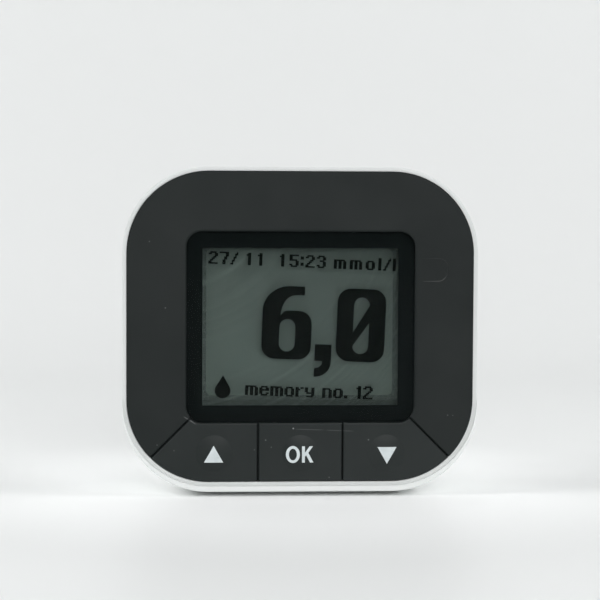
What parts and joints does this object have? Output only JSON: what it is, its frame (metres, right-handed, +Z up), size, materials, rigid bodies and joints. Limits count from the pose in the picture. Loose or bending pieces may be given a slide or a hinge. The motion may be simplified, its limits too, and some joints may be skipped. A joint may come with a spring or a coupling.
{
  "type": "blood glucose meter",
  "caption": "Free-standing blood glucose meter: dark face with a framed display and a row of push keys, white case, strip port in one side, sliding battery door at the back.",
  "frame": {"origin": "middle of the case's outline, on the ground that the sole stands on", "axes": "+Z up the face, the face looks along -Y, +X to the right of someone who reads the display"},
  "size_m": [0.0696, 0.023, 0.0645],
  "materials": {
    "face_plastic": "matte",
    "key_plastic": "matte",
    "white_plastic": "satin",
    "switch_plastic": "matte",
    "switch_metal": "satin",
    "clear_lens": "gloss",
    "border_print": "gloss",
    "display_glass": "satin",
    "reflector_foil": "satin",
    "frame_plastic": "matte",
    "connector_rubber": "matte",
    "board_laminate": "satin",
    "chip_plastic": "matte",
    "component_plastic": "matte",
    "finger_brass": "satin",
    "port_plastic": "matte",
    "cell_sleeve": "satin",
    "contact_steel": "satin",
    "screw_steel": "satin"
  },
  "bodies": {
    "case": {"front_cover": "face_plastic", "rear_cover": "white_plastic", "key_switches": "switch_metal", "display_lens": "clear_lens", "lens_border": "border_print", "lcd_glass": "display_glass", "lcd_reflector": "reflector_foil", "lcd_frame": "frame_plastic", "lcd_connector": "connector_rubber", "main_board": "board_laminate", "control_chip": "chip_plastic", "board_parts": "component_plastic", "buzzer": "chip_plastic", "strip_connector": "chip_plastic", "strip_contacts": "finger_brass", "strip_port": "port_plastic", "upper_battery": "cell_sleeve", "lower_battery": "cell_sleeve", "positive_contact": "contact_steel", "negative_contact": "contact_steel", "bridge_contact": "contact_steel", "case_screws": "screw_steel"},
    "up_key": {"up_key": "key_plastic", "up_switch_button": "switch_plastic"},
    "ok_key": {"ok_key": "key_plastic", "ok_switch_button": "switch_plastic"},
    "down_key": {"down_key": "key_plastic", "down_switch_button": "switch_plastic"},
    "battery_door": {"battery_door": "white_plastic"}
  },
  "joints": [
    {"name": "up_key_press", "type": "slide", "parent": "case", "child": "up_key", "axis": [0, 1, 0], "range_m": [0, 0.0005], "stiffness_N_per_m": 2000, "springref_m": -0.0002},
    {"name": "ok_key_press", "type": "slide", "parent": "case", "child": "ok_key", "axis": [0, 1, 0], "range_m": [0, 0.0005], "stiffness_N_per_m": 2000, "springref_m": -0.0002},
    {"name": "down_key_press", "type": "slide", "parent": "case", "child": "down_key", "axis": [0, 1, 0], "range_m": [0, 0.0005], "stiffness_N_per_m": 2000, "springref_m": -0.0002},
    {"name": "battery_door_slide", "type": "slide", "parent": "case", "child": "battery_door", "axis": [0, 0, 1], "range_m": [0, 0.02]}
  ]
}
